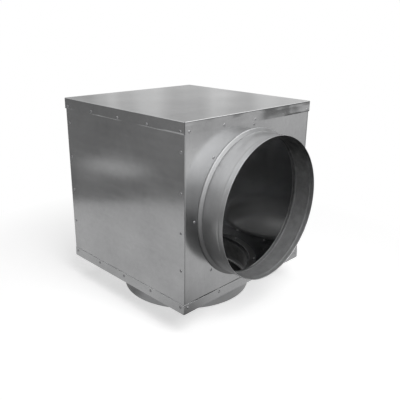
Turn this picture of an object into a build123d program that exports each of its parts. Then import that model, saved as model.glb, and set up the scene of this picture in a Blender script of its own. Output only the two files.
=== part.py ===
from build123d import *
import os

os.makedirs("parts", exist_ok=True)

# Galvanised sheet
sheet = 1.0
bend_inside = 0.3
bend_clearance = 0.1

# Laps between the sheets: the pan's skirt clears only its own fold
seam_gap = 0.5
cover_gap = 1.0
pan_gap = bend_inside + bend_clearance

# Folded edges
wall_flange = 22.0
cover_skirt = 24.0
pan_skirt = 22.0
cover_corner_relief = 2.0
pan_corner_relief = 3.0

# Round duct spigots: a rolled tube pushed over the lip of a pressed collar
spigot_diameter = 315.0
spigot_reach = 60.0
groove_inset = 12.0
groove_width = 6.0
groove_depth = 0.4
groove_round = 4.0

# Collar: flange behind the wall, root through it, rolled bead in front of it
flange_width = 20.5
flange_seal = 0.5
bead_height = 7.5
bead_width = 5.5
bead_round = 1.5
bead_clearance = 0.3
root_height = 3.7
tube_gap = 1.5
lip_reach = 5.0
lip_fit = 0.05
hole_clearance = 0.2

# Blind rivets
rivet_shank = 3.2
rivet_hole_clearance = 0.05
rivet_head = 6.4
rivet_head_height = 1.1
rivet_crown = 3.0
rivet_tail = 5.0
rivet_tail_length = 3.5

# Rivet rows
rivet_edge_margin = 10.0
edge_rivets = 5
cover_rivet_margin = 5.0
cover_rivet_drop = cover_skirt - cover_rivet_margin
pan_rivet_margin = 7.5
pan_rivet_rise = pan_skirt - pan_rivet_margin
seam_rivets = 4
seam_rivet_rise = 97.5
seam_rivet_pitch = 81.5
spigot_rivets = 8
spigot_rivet_inset = 5.5
inlet_rivet_turn = 0.0
outlet_rivet_turn = -38.5

# Sealing strips
lap_strip_height = 7.0
lap_strip_inset = 2.5
seam_strip_width = 7.0
seam_strip_inset = 1.5
ring_strip_inset = 1.5

# Room left round the collar flanges: it sets the size of the box
side_room = 22.0
room_under_inlet = 3.0
room_over_inlet = 2.5

# Sizes of the box that follow, over its walls and from pan to cover
flange_diameter = spigot_diameter + 2 * flange_width
spigot_rivet_circle = flange_diameter - 2 * spigot_rivet_inset
body_width = flange_diameter + 2 * side_room
body_depth = flange_diameter + 2 * side_room
inlet_height = pan_rivet_rise + rivet_tail / 2 + room_under_inlet + flange_diameter / 2
body_height = (
    inlet_height + flange_diameter / 2 + room_over_inlet + rivet_tail / 2 + cover_rivet_drop
)

# Heights and clearances that follow
pan_bottom = spigot_reach
cover_top = pan_bottom + body_height
wall_bottom = pan_bottom + sheet
wall_top = cover_top - sheet
wall_height = wall_top - wall_bottom
inlet_axis = pan_bottom + inlet_height
pan_rivet_level = pan_bottom + pan_rivet_rise
cover_rivet_level = cover_top - cover_rivet_drop
bend_outside = bend_inside + sheet
flange_lap = sheet + seam_gap
fold_middle = bend_inside + sheet / 2
lip_middle = spigot_diameter / 2 - sheet - lip_fit - sheet / 2
root_middle = spigot_diameter / 2 + root_height - sheet / 2
spigot_hole = root_middle + sheet / 2 + hole_clearance
collar_face = bead_clearance + bead_width
rivet_hole = rivet_shank / 2 + rivet_hole_clearance
drill_depth = 4 * sheet + cover_gap + seam_gap


def channel(width, depth, length):
    """A sheet folded down along two opposite edges, top face at height zero."""
    outer = Rectangle(width, depth, align=(Align.CENTER, Align.MAX))
    outer = fillet(outer.vertices().group_by(Axis.Y)[-1], bend_outside)
    inner = Rectangle(width - 2 * sheet, depth - sheet, align=(Align.CENTER, Align.MAX))
    inner = Pos(0, -sheet) * inner
    inner = fillet(inner.vertices().group_by(Axis.Y)[-1], bend_inside)
    return extrude(Plane.XZ * (outer - inner), length / 2, both=True)


def tray(width, depth, skirt, relief):
    """A flat sheet with a skirt folded down on all four sides and open corners."""
    across = channel(width, skirt, depth - 2 * relief)
    along = Rot(0, 0, 90) * channel(depth, skirt, width - 2 * relief)
    return across + along


def side_frame(turn, distance):
    """The frame of one side of the box: Z outwards, Y up, X along the side."""
    plane = Plane(origin=(distance, 0, 0), x_dir=(0, 1, 0), z_dir=(1, 0, 0))
    return Rot(0, 0, turn) * plane.location


def spread(span, count):
    """Even positions over a span, centred on zero."""
    pitch = span / (count - 1)
    return [pitch * step - span / 2 for step in range(count)]


def rivet(grip):
    """A blind rivet set in sheets of the given thickness, outer face at zero."""
    section = Polyline(
        (0, rivet_head_height),
        (rivet_crown / 2, rivet_head_height),
        (rivet_head / 2, 0),
        (rivet_shank / 2, 0),
        (rivet_shank / 2, -grip),
        (rivet_tail / 2, -grip),
        (rivet_tail / 2, -grip - rivet_tail_length),
        (0, -grip - rivet_tail_length),
        close=True,
    )
    return revolve(Plane.XZ * make_face(section), Axis.Z)


def drill(piece, places):
    """Cut the rivet holes of a row through every sheet that lies near its face."""
    tool = Cylinder(rivet_hole, 2 * drill_depth)
    return piece - [place * tool for place in places]


def strip_loop(width, depth, thickness, height):
    """A sealing strip that runs round a rectangle, against its outside."""
    outer = Rectangle(width + 2 * thickness, depth + 2 * thickness)
    return extrude(outer - Rectangle(width, depth), height)


def rolled(line):
    """A sheet of even thickness turned round the Z axis along a middle line."""
    return revolve(Plane.XZ * trace(line, sheet), Axis.Z)


def collar():
    """A pressed collar: Z along its axis, the wall's outer face at zero."""
    back = -sheet - flange_seal - sheet / 2
    crown = spigot_diameter / 2 + bead_height - sheet / 2
    near = bead_clearance + sheet / 2
    far = collar_face - sheet / 2
    line = FilletPolyline(
        (flange_diameter / 2, back),
        (root_middle, back),
        (root_middle, near),
        (crown, near),
        (crown, far),
        (lip_middle, far),
        (lip_middle, collar_face + lip_reach),
        radius=[fold_middle, fold_middle, bead_round, bead_round, fold_middle],
    )
    return rolled(line)


def spigot():
    """A rolled tube with a shallow groove near its rim, in the collar's frame."""
    middle = (spigot_diameter - sheet) / 2
    groove = spigot_reach - groove_inset
    line = FilletPolyline(
        (middle, collar_face + tube_gap),
        (middle, groove - groove_width / 2),
        (middle - groove_depth, groove),
        (middle, groove + groove_width / 2),
        (middle, spigot_reach),
        radius=groove_round,
    )
    return rolled(line)


def ring_seal():
    """The sealing ring between a wall and the flange of its spigot."""
    inner = spigot_hole + ring_strip_inset
    outer = spigot_rivet_circle / 2 - rivet_hole - ring_strip_inset
    return extrude(Circle(outer) - Circle(inner), flange_seal)


# The four sides of the box, by name: turn about Z, distance of the wall's
# outer face from the axis, and length of the side.
sides = {
    "inlet_side": (0, body_width / 2, body_depth),
    "right_side": (90, body_depth / 2, body_width),
    "rear_side": (180, body_width / 2, body_depth),
    "left_side": (270, body_depth / 2, body_width),
}


def edge_row(side, level, offset):
    """Rivet places along one side at one height, on a face set out by offset."""
    turn, distance, span = sides[side]
    frame = side_frame(turn, distance + offset)
    reach = span - 2 * rivet_edge_margin
    return [frame * Pos(x, level, 0) for x in spread(reach, edge_rivets)]


def seam_column(side, end):
    """Rivet places up one vertical seam: end is -1 or 1 along the side."""
    turn, distance, span = sides[side]
    frame = side_frame(turn, distance)
    x = end * (span / 2 - rivet_edge_margin)
    low = pan_bottom + seam_rivet_rise
    return [frame * Pos(x, low + step * seam_rivet_pitch, 0) for step in range(seam_rivets)]


def circle_places(frame, turn):
    """Rivet places round a spigot whose wall face is the XY plane of frame."""
    places = PolarLocations(spigot_rivet_circle / 2, spigot_rivets, start_angle=turn)
    return [frame * place for place in places]


inlet_frame = side_frame(0, body_width / 2) * Pos(0, inlet_axis, 0)
outlet_frame = Pos(0, 0, pan_bottom) * Rot(180, 0, 0)

cover_rows = {side: edge_row(side, cover_rivet_level, cover_gap + sheet) for side in sides}
pan_rows = {side: edge_row(side, pan_rivet_level, pan_gap + sheet) for side in sides}
seam_columns = {
    "inlet_right": seam_column("right_side", -1),
    "rear_right": seam_column("right_side", 1),
    "rear_left": seam_column("left_side", -1),
    "inlet_left": seam_column("left_side", 1),
}
inlet_circle = circle_places(inlet_frame, inlet_rivet_turn)
outlet_circle = circle_places(outlet_frame, outlet_rivet_turn)

parts = {}

# Top cover
cover_width = body_width + 2 * (cover_gap + sheet)
cover_depth = body_depth + 2 * (cover_gap + sheet)
cover = Pos(0, 0, cover_top) * tray(cover_width, cover_depth, cover_skirt, cover_corner_relief)
for side in sides:
    cover = drill(cover, cover_rows[side])
parts["top_cover"] = cover

# Bottom pan
pan_width = body_width + 2 * (pan_gap + sheet)
pan_depth = body_depth + 2 * (pan_gap + sheet)
pan = tray(pan_width, pan_depth, pan_skirt, pan_corner_relief)
pan = Pos(0, 0, pan_bottom) * Rot(180, 0, 0) * pan
for side in sides:
    pan = drill(pan, pan_rows[side])
pan = drill(pan, outlet_circle)
pan = pan - outlet_frame * Cylinder(spigot_hole, 4 * sheet)
parts["bottom_pan"] = pan

# Inlet panel and rear panel, with their vertical edges folded inwards
folded_width = body_depth - 2 * flange_lap
folded = Rot(0, 0, 90) * channel(folded_width, wall_flange, wall_height)
folded = Rot(0, 90, 0) * folded
folded = Pos(body_width / 2, 0, wall_bottom + wall_height / 2) * folded
inlet_panel = folded
rear_panel = Rot(0, 0, 180) * folded
for side in sides:
    inlet_panel = drill(inlet_panel, cover_rows[side] + pan_rows[side])
    rear_panel = drill(rear_panel, cover_rows[side] + pan_rows[side])
inlet_panel = drill(inlet_panel, seam_columns["inlet_left"] + seam_columns["inlet_right"])
rear_panel = drill(rear_panel, seam_columns["rear_left"] + seam_columns["rear_right"])
inlet_panel = drill(inlet_panel, inlet_circle)
inlet_panel = inlet_panel - inlet_frame * Cylinder(spigot_hole, 4 * sheet)
parts["inlet_panel"] = inlet_panel
parts["rear_panel"] = rear_panel

# Side panels
flat = Box(body_width, sheet, wall_height, align=(Align.CENTER, Align.MAX, Align.MIN))
right_panel = Pos(0, body_depth / 2, wall_bottom) * flat
left_panel = Rot(0, 0, 180) * right_panel
right_panel = drill(right_panel, cover_rows["right_side"] + pan_rows["right_side"])
right_panel = drill(right_panel, seam_columns["inlet_right"] + seam_columns["rear_right"])
left_panel = drill(left_panel, cover_rows["left_side"] + pan_rows["left_side"])
left_panel = drill(left_panel, seam_columns["inlet_left"] + seam_columns["rear_left"])
parts["right_side_panel"] = right_panel
parts["left_side_panel"] = left_panel

# Collars and spigots
parts["inlet_collar"] = drill(inlet_frame * collar(), inlet_circle)
parts["outlet_collar"] = drill(outlet_frame * collar(), outlet_circle)
parts["inlet_spigot"] = inlet_frame * spigot()
parts["outlet_spigot"] = outlet_frame * spigot()

# Seals
parts["inlet_flange_seal"] = inlet_frame * Pos(0, 0, -sheet - flange_seal) * ring_seal()
parts["outlet_flange_seal"] = outlet_frame * Pos(0, 0, -sheet - flange_seal) * ring_seal()
cover_strip_top = wall_top - lap_strip_inset
cover_strip = strip_loop(body_width, body_depth, cover_gap, -lap_strip_height)
parts["cover_seal"] = Pos(0, 0, cover_strip_top) * cover_strip
pan_strip = strip_loop(body_width, body_depth, pan_gap, lap_strip_height)
parts["pan_seal"] = Pos(0, 0, wall_bottom + lap_strip_inset) * pan_strip
seam_strip = Box(seam_strip_width, seam_gap, wall_height, align=(Align.MIN, Align.MAX, Align.MIN))
seam_x = body_width / 2 - wall_flange + seam_strip_inset
seam_strip = Pos(seam_x, body_depth / 2 - sheet, wall_bottom) * seam_strip
parts["inlet_right_seam_seal"] = seam_strip
parts["rear_right_seam_seal"] = mirror(seam_strip, Plane.YZ)
parts["inlet_left_seam_seal"] = mirror(seam_strip, Plane.XZ)
parts["rear_left_seam_seal"] = Rot(0, 0, 180) * seam_strip

# Rivets: those at the ends of a side row also pass the folded flange behind
for side in sides:
    extra = flange_lap if side in ("left_side", "right_side") else 0
    ends = (0, edge_rivets - 1)
    for name, rows, gap in (("cover", cover_rows, cover_gap), ("pan", pan_rows, pan_gap)):
        grip = 2 * sheet + gap
        row = rows[side]
        group = []
        for index, place in enumerate(row):
            length = grip + extra if index in ends else grip
            group.append(place * rivet(length))
        parts[f"{name}_rivets_{side}"] = Compound(children=group)
for name, column in seam_columns.items():
    group = [place * rivet(2 * sheet + seam_gap) for place in column]
    parts[f"seam_rivets_{name}"] = Compound(children=group)
flange_grip = 2 * sheet + flange_seal
parts["inlet_spigot_rivets"] = Compound(children=[p * rivet(flange_grip) for p in inlet_circle])
parts["outlet_spigot_rivets"] = Compound(children=[p * rivet(flange_grip) for p in outlet_circle])

for name, piece in parts.items():
    export_step(piece, f"parts/{name}.step")
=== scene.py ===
"""The looks of a sheet-steel plenum box with two round duct spigots.

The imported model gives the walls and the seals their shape. This file folds the
cover and the pan, turns smooth spigots, collars and domed rivets in place of
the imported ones, dresses every piece and sets the studio, in metres and in the
model's frame.
"""

import logging
import math
from dataclasses import dataclass
from enum import Enum

import bpy
import numpy as np
from mathutils import Matrix


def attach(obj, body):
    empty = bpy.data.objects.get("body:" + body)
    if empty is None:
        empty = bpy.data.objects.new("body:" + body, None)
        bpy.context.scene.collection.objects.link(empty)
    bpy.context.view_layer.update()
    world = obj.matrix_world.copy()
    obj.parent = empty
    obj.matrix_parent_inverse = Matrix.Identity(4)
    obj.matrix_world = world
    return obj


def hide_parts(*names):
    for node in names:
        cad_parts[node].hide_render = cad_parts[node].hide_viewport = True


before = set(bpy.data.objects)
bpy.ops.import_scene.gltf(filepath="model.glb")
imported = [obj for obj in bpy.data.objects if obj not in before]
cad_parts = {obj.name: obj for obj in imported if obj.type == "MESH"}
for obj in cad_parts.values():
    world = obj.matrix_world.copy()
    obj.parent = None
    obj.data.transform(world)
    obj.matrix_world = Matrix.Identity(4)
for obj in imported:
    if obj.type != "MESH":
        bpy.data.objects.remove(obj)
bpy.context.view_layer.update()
LOG = logging.getLogger("plenum_box")
MM = 0.001
EVEN = (1.0, 1.0, 1.0)
Pair = tuple[float, float]
Triple = tuple[float, float, float]
Socket = bpy.types.NodeSocket


class Grain(Enum):
    """Which way the rolling lines of a sheet run, as a stretch of the pattern."""

    UPRIGHT = (1.0, 1.0, 0.03)
    ALONG_X = (0.03, 1.0, 1.0)
    ALONG_Y = (1.0, 0.03, 1.0)


class Side(Enum):
    """The four sides of the box, as turns about the upright axis in degrees."""

    INLET = 0.0
    RIGHT = 90.0
    REAR = 180.0
    LEFT = 270.0


@dataclass
class Recipe:
    """A material under construction: its node tree and short ways to add to it."""

    name: str
    tree: bpy.types.NodeTree | None = None
    material: bpy.types.Material | None = None
    output: bpy.types.Node | None = None

    def __post_init__(self) -> None:
        """Makes a material, unless a tree was given, and empties the tree."""
        if self.tree is None:
            self.material = bpy.data.materials.new(self.name)
            self.material.use_nodes = True
            self.tree = self.material.node_tree
        self.tree.nodes.clear()
        if self.material is not None:
            self.output = self.node("ShaderNodeOutputMaterial")

    def node(self, kind: str, **settings: object) -> bpy.types.Node:
        """Adds one node.

        Args:
            kind: the node's type, such as ShaderNodeMath.
            settings: properties to set on it.

        Returns:
            The new node.
        """
        made = self.tree.nodes.new(kind)
        for key, value in settings.items():
            setattr(made, key, value)
        return made

    def join(self, source: Socket, target: Socket) -> None:
        """Links a source socket to a target socket."""
        self.tree.links.new(source, target)

    def math(
        self, operation: str, first: object, second: object = 0.0, third: object = 0.0
    ) -> Socket:
        """Adds a sum of sockets or plain numbers.

        Args:
            operation: the Math node's operation.
            first: socket or number.
            second: socket or number.
            third: socket or number.

        Returns:
            The result's socket.
        """
        made = self.node("ShaderNodeMath", operation=operation)
        for index, value in enumerate((first, second, third)):
            if isinstance(value, Socket):
                self.join(value, made.inputs[index])
            else:
                made.inputs[index].default_value = value
        return made.outputs[0]

    def place(self, stretch: Triple, uv: bool = False) -> Socket:
        """Coordinates on the piece, stretched.

        Args:
            stretch: how much each direction is scaled.
            uv: read the piece's own UV map in metres, not its Object coordinates.

        Returns:
            The coordinates' socket.
        """
        texture = self.node("ShaderNodeTexCoord")
        mapping = self.node("ShaderNodeMapping")
        mapping.inputs["Scale"].default_value = stretch
        self.join(texture.outputs["UV" if uv else "Object"], mapping.inputs["Vector"])
        return mapping.outputs["Vector"]

    def noise(
        self, where: Socket, size: float, detail: float = 2.0, rough: float = 0.5
    ) -> Socket:
        """Cloudy noise from 0 to 1.

        Args:
            where: the coordinates.
            size: width of a cloud in metres.
            detail: how many finer layers it has.
            rough: strength of the finer layers.

        Returns:
            The noise's socket.
        """
        made = self.node("ShaderNodeTexNoise")
        made.inputs["Scale"].default_value = 1.0 / size
        made.inputs["Detail"].default_value = detail
        made.inputs["Roughness"].default_value = rough
        self.join(where, made.inputs["Vector"])
        return made.outputs["Fac"]

    def span(
        self, value: Socket, source: Pair, target: Pair
    ) -> Socket:
        """Maps a value from one range to another, held at the ends.

        Args:
            value: the socket to map.
            source: lowest and highest value in.
            target: lowest and highest value out.

        Returns:
            The mapped socket.
        """
        made = self.node("ShaderNodeMapRange", clamp=True)
        made.inputs["From Min"].default_value = source[0]
        made.inputs["From Max"].default_value = source[1]
        made.inputs["To Min"].default_value = target[0]
        made.inputs["To Max"].default_value = target[1]
        self.join(value, made.inputs["Value"])
        return made.outputs["Result"]

    def blend(
        self, dark: Triple, pale: Triple,
        amount: Socket,
    ) -> Socket:
        """A colour between two, by a socket from 0 to 1.

        Args:
            dark: colour at 0.
            pale: colour at 1.
            amount: the socket.

        Returns:
            The colour's socket.
        """
        ramp = self.node("ShaderNodeValToRGB")
        ramp.color_ramp.elements[0].color = (*dark, 1.0)
        ramp.color_ramp.elements[1].color = (*pale, 1.0)
        self.join(amount, ramp.inputs["Fac"])
        return ramp.outputs["Color"]

    def relief(
        self, height: Socket, depth: float,
        below: Socket | None = None,
    ) -> Socket:
        """A surface normal tilted by a height pattern.

        Args:
            height: the pattern from 0 to 1.
            depth: its full height in metres.
            below: a normal that it adds to.

        Returns:
            The normal's socket.
        """
        bump = self.node("ShaderNodeBump")
        bump.inputs["Strength"].default_value = 1.0
        bump.inputs["Distance"].default_value = depth
        self.join(height, bump.inputs["Height"])
        if below is not None:
            self.join(below, bump.inputs["Normal"])
        return bump.outputs["Normal"]

    def either(
        self, amount: Socket, first: Socket, second: Socket
    ) -> Socket:
        """Mixes two shaders.

        Args:
            amount: 0 for the first, 1 for the second.
            first: a shader's socket.
            second: a shader's socket.

        Returns:
            The mixed shader's socket.
        """
        both = self.node("ShaderNodeMixShader")
        self.join(amount, both.inputs["Fac"])
        self.join(first, both.inputs[1])
        self.join(second, both.inputs[2])
        return both.outputs["Shader"]

    def axis(self, where: Socket, name: str) -> Socket:
        """One number of a position.

        Args:
            where: the position's socket.
            name: X, Y or Z.

        Returns:
            The number's socket.
        """
        parts = self.node("ShaderNodeSeparateXYZ")
        self.join(where, parts.inputs["Vector"])
        return parts.outputs[name]

    def distance(self, where: Socket) -> Socket:
        """A position's distance from the origin.

        Args:
            where: the position's socket.

        Returns:
            The distance's socket.
        """
        length = self.node("ShaderNodeVectorMath", operation="LENGTH")
        self.join(where, length.inputs[0])
        return length.outputs["Value"]

    def toward(self, where: Socket, direction: Triple) -> Socket:
        """How far a position lies toward a direction, as their dot product.

        Args:
            where: the position's socket.
            direction: the direction.

        Returns:
            The product's socket.
        """
        dot = self.node("ShaderNodeVectorMath", operation="DOT_PRODUCT")
        dot.inputs[1].default_value = direction
        self.join(where, dot.inputs[0])
        return dot.outputs["Value"]

    def mark(self, name: str) -> Socket:
        """The value of a mesh's attribute, by its name."""
        return self.node("ShaderNodeAttribute", attribute_name=name).outputs["Fac"]

    def glow(self, strength: object = 1.0) -> Socket:
        """Adds a white emission shader.

        Args:
            strength: socket or number.

        Returns:
            The shader's socket.
        """
        made = self.node("ShaderNodeEmission")
        if isinstance(strength, Socket):
            self.join(strength, made.inputs["Strength"])
        else:
            made.inputs["Strength"].default_value = strength
        return made.outputs["Emission"]

    def surface(self, metallic: float) -> bpy.types.Node:
        """Adds the Principled shader and joins it to the output.

        Args:
            metallic: 1 for bare metal, 0 for the rest.

        Returns:
            The shader's node.
        """
        shader = self.node("ShaderNodeBsdfPrincipled")
        shader.inputs["Metallic"].default_value = metallic
        self.join(shader.outputs["BSDF"], self.output.inputs["Surface"])
        return shader


@dataclass(frozen=True)
class ZincSheet:
    """Zinc-coated cold-rolled sheet: soft cloudy shine, rolling lines, faint crystals.

    Fields are the darkest and palest zinc, the range of roughness, and the
    depths in metres of the sheet's waves, of its rolling lines and of the
    dents in a skirt below dent_level. Below low_shade_level the outer faces
    are darker by the share low_shade: painted shade low down. Faces whose
    "cut" attribute is 1 are sheared edges, dull and without the zinc's shine.
    Those whose "inside" attribute is 1 are inner faces, darker by the shares
    inside_shading at the inside_shading_heights above the floor: painted shade,
    and painted light where a share is below 0. Within core metres of the
    upright axis along X the sheet is inside the box, where it is duller. A
    rolled tube is darker by the share root at its root, less and less over the
    root_shade_length of its UV map: painted shade beside its collar.
    """

    name: str
    grain: Grain = Grain.UPRIGHT
    dark: Triple = (0.52, 0.523, 0.528)
    pale: Triple = (0.65, 0.653, 0.658)
    gloss: Pair = (0.13, 0.22)
    metal: float = 1.0
    wave: float = 0.0005
    line: float = 0.000001
    drawn: float = 0.14
    dents: float = 0.0
    dent_level: float = 0.458
    low_shade: float = 0.0
    low_shade_level: float = 0.235
    inside_shading: Pair = (0.5, 0.5)
    inside_shading_heights: Pair = (0.15, 0.385)
    core: float = 0.0
    root: float = 0.0
    root_shade_length: float = 0.045
    cloud_size: float = 0.11
    line_size: float = 0.0011
    band_size: float = 0.012
    crystal_size: float = 0.007
    blotch_size: float = 0.016
    wave_size: float = 0.21
    dent_size: float = 0.055
    uv: bool = False

    def material(self) -> bpy.types.Material:
        """Builds the material.

        Returns:
            The finished material.
        """
        mix = Recipe(self.name)
        shader = mix.surface(self.metal)
        plain = mix.place(EVEN, self.uv)
        drawn = mix.place(self.grain.value, self.uv)
        cloud = mix.noise(plain, self.cloud_size, 3.0, 0.55)
        lines = mix.noise(drawn, self.line_size, 4.0, 0.7)
        bands = mix.noise(drawn, self.band_size, 3.0, 0.6)
        crystal_tone, crystal_gloss = self.crystals(mix, plain)
        shade = mix.math("MULTIPLY", cloud, 0.5)
        shade = mix.math("MULTIPLY_ADD", lines, self.drawn, shade)
        shade = mix.math("MULTIPLY_ADD", bands, 0.15, shade)
        shade = mix.math("MULTIPLY_ADD", crystal_tone, 0.06, shade)
        colour = mix.blend(self.dark, self.pale, mix.span(shade, (0.26, 0.59), (0.0, 1.0)))
        # The colour is scaled by the sheet's painted light and shade.
        tinted = mix.node("ShaderNodeVectorMath", operation="SCALE")
        mix.join(colour, tinted.inputs[0])
        mix.join(self.painted_shading(mix, plain), tinted.inputs["Scale"])
        mix.join(tinted.outputs["Vector"], shader.inputs["Base Color"])
        dull = mix.math("MULTIPLY_ADD", crystal_gloss, 0.06, mix.math("MULTIPLY", bands, 0.3))
        dull = mix.math("MULTIPLY_ADD", cloud, 0.5, dull)
        sheared = mix.mark("cut")
        gloss = mix.math("MULTIPLY_ADD", sheared, 0.4, mix.span(dull, (0.22, 0.64), self.gloss))
        if self.core:
            across = mix.axis(mix.place(EVEN), "X")
            within = mix.math("LESS_THAN", mix.math("ABSOLUTE", across), self.core)
            gloss = mix.math("MULTIPLY_ADD", within, 0.14, gloss)
        mix.join(gloss, shader.inputs["Roughness"])
        mix.join(mix.math("MULTIPLY_ADD", sheared, -0.6, self.metal), shader.inputs["Metallic"])
        mix.join(self.unevenness(mix, lines), shader.inputs["Normal"])
        return mix.material

    def crystals(self, mix: Recipe, plain: Socket) -> tuple[Socket, Socket]:
        """The zinc's faint crystals.

        Args:
            mix: the recipe to add to.
            plain: the coordinates.

        Returns:
            Two sockets, each with one number from 0 to 1 a crystal.
        """
        cells = mix.node("ShaderNodeTexVoronoi", feature="F1")
        cells.inputs["Scale"].default_value = 1.0 / self.crystal_size
        mix.join(plain, cells.inputs["Vector"])
        parts = mix.node("ShaderNodeSeparateColor")
        mix.join(cells.outputs["Color"], parts.inputs["Color"])
        return parts.outputs[0], parts.outputs[1]

    def painted_shading(self, mix: Recipe, plain: Socket) -> Socket:
        """Painted shade inside, low down and at a tube's root, and painted light where an inside share
        is below 0.

        Args:
            mix: the recipe to add to.
            plain: the coordinates, along a rolled tube in Y.

        Returns:
            The share of its colour that it keeps.
        """
        there = mix.place(EVEN)
        height = mix.axis(there, "Z")
        inner = mix.mark("inside")
        blotch = mix.noise(there, self.blotch_size, 3.0, 0.6)
        # Painted shade on inner faces by height, painted light where the share is below 0, varied in
        # blotches.
        painted_inner_shade = mix.span(height, self.inside_shading_heights, self.inside_shading)
        painted_inner_shade = mix.math("ADD", painted_inner_shade, mix.span(blotch, (0.3, 0.7), (-0.13, 0.13)))
        kept_share = mix.math("SUBTRACT", 1.0, mix.math("MULTIPLY", inner, painted_inner_shade))
        # Painted shade on the outer faces low down.
        if self.low_shade:
            fading = (self.low_shade_level - 0.06, self.low_shade_level + 0.05)
            low = mix.span(height, fading, (self.low_shade, 0.0))
            outer = mix.math("SUBTRACT", 1.0, inner)
            kept_share = mix.math("SUBTRACT", kept_share, mix.math("MULTIPLY", low, outer))
        # Painted shade at a rolled tube's root, beside its collar.
        if self.root:
            fading = (0.0, self.root_shade_length)
            painted_root_shade = mix.span(mix.axis(plain, "Y"), fading, (self.root, 0.0))
            kept_share = mix.math("SUBTRACT", kept_share, painted_root_shade)
        return kept_share

    def unevenness(self, mix: Recipe, lines: Socket) -> Socket:
        """The sheet's relief: slow waves, rolling lines and a skirt's dents.

        Args:
            mix: the recipe to add to.
            lines: the pattern of the rolling lines.

        Returns:
            The normal's socket.
        """
        waves = mix.noise(mix.place((1.0, 1.0, 0.7), self.uv), self.wave_size, 1.0, 0.4)
        normal = mix.relief(lines, self.line, mix.relief(waves, self.wave))
        if self.dents:
            height = mix.axis(mix.place(EVEN), "Z")
            skirt = mix.span(height, (self.dent_level - 0.006, self.dent_level), (1.0, 0.0))
            dent = mix.noise(mix.place((1.0, 1.0, 1.6)), self.dent_size, 1.0, 0.4)
            dent = mix.math("SUBTRACT", dent, 0.5)
            normal = mix.relief(mix.math("MULTIPLY", dent, skirt), self.dents, normal)
        return normal


@dataclass(frozen=True)
class DrawnAlloy:
    """Aluminium alloy of a blind rivet, slightly dulled, with fine tool marks."""

    name: str

    def material(self) -> bpy.types.Material:
        """Builds the material.

        Returns:
            The finished material.
        """
        mix = Recipe(self.name)
        shader = mix.surface(1.0)
        grime = mix.noise(mix.place(EVEN), 0.0021, 4.0, 0.6)
        pale = mix.span(grime, (0.3, 0.7), (0.0, 1.0))
        colour = mix.blend((0.34, 0.34, 0.35), (0.50, 0.50, 0.51), pale)
        mix.join(colour, shader.inputs["Base Color"])
        mix.join(mix.span(grime, (0.3, 0.7), (0.52, 0.40)), shader.inputs["Roughness"])
        mix.join(mix.relief(grime, 0.00003), shader.inputs["Normal"])
        return mix.material


@dataclass(frozen=True)
class SealingCompound:
    """Grey elastic sealing compound, matt and slightly uneven."""

    name: str

    def material(self) -> bpy.types.Material:
        """Builds the material.

        Returns:
            The finished material.
        """
        mix = Recipe(self.name)
        shader = mix.surface(0.0)
        lumps = mix.noise(mix.place(EVEN), 0.006, 3.0, 0.6)
        colour = mix.blend((0.10, 0.10, 0.105), (0.17, 0.17, 0.175), lumps)
        mix.join(colour, shader.inputs["Base Color"])
        mix.join(mix.span(lumps, (0.2, 0.8), (0.65, 0.85)), shader.inputs["Roughness"])
        mix.join(mix.relief(lumps, 0.0003), shader.inputs["Normal"])
        return mix.material


def dress(piece: bpy.types.Object, finish: bpy.types.Material) -> None:
    """Gives every material slot of a piece one finish.

    Args:
        piece: a mesh object.
        finish: its material.
    """
    if not piece.material_slots:
        piece.data.materials.append(finish)
    for holder in piece.material_slots:
        holder.material = finish


def turn_about_z(degrees: float) -> np.ndarray:
    """A turn about the upright axis.

    Args:
        degrees: how far, anticlockwise from above.

    Returns:
        The 3 by 3 matrix of the turn.
    """
    angle = math.radians(degrees)
    cosine, sine = math.cos(angle), math.sin(angle)
    return np.array([[cosine, -sine, 0.0], [sine, cosine, 0.0], [0.0, 0.0, 1.0]])


def side_axes(side: Side) -> np.ndarray:
    """Columns are a side's own X (along it), Y (up) and Z (outwards)."""
    inlet = np.array([[0.0, 0.0, 1.0], [1.0, 0.0, 0.0], [0.0, 1.0, 0.0]])
    return turn_about_z(side.value) @ inlet


def arc(centre: Pair, radius: float, start: float, stop: float, steps: int) -> np.ndarray:
    """Points on a circle, both ends included.

    Args:
        centre: the circle's centre as (along, out).
        radius: its radius.
        start: first angle in degrees, from the along direction.
        stop: last angle in degrees.
        steps: number of points.

    Returns:
        An array of steps rows of (along, out).
    """
    angle = np.radians(np.linspace(start, stop, steps))
    along, out = centre
    return np.column_stack((along + radius * np.cos(angle), out + radius * np.sin(angle)))


def make_mesh(
    name: str, points: np.ndarray, faces: list[list[int]], uv: np.ndarray | None = None,
    marks: dict[str, np.ndarray] | None = None, crease: float = 35.0,
) -> bpy.types.Object:
    """Makes an object at the origin from arrays.

    Args:
        name: the piece's name.
        points: rows of x, y, z in metres.
        faces: for each face, its point numbers.
        uv: for each face's four corners, (u, v) in metres.
        marks: for each attribute's name, one number a face.
        crease: edges that turn by more than this many degrees stay sharp.

    Returns:
        The object, smooth shaded, linked to the scene.
    """
    mesh = bpy.data.meshes.new(name)
    mesh.from_pydata(points.tolist(), [], faces)
    if uv is not None:
        layer = mesh.uv_layers.new(name="roll")
        layer.data.foreach_set("uv", np.ascontiguousarray(uv, dtype=np.float32).ravel())
    for mark, values in (marks or {}).items():
        mesh.attributes.new(mark, "FLOAT", "FACE").data.foreach_set("value", values.astype(np.float32))
    mesh.validate()
    mesh.update()
    mesh.shade_smooth()
    mesh.set_sharp_from_angle(angle=math.radians(crease))
    made = bpy.data.objects.new(name, mesh)
    bpy.context.scene.collection.objects.link(made)
    return made


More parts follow.
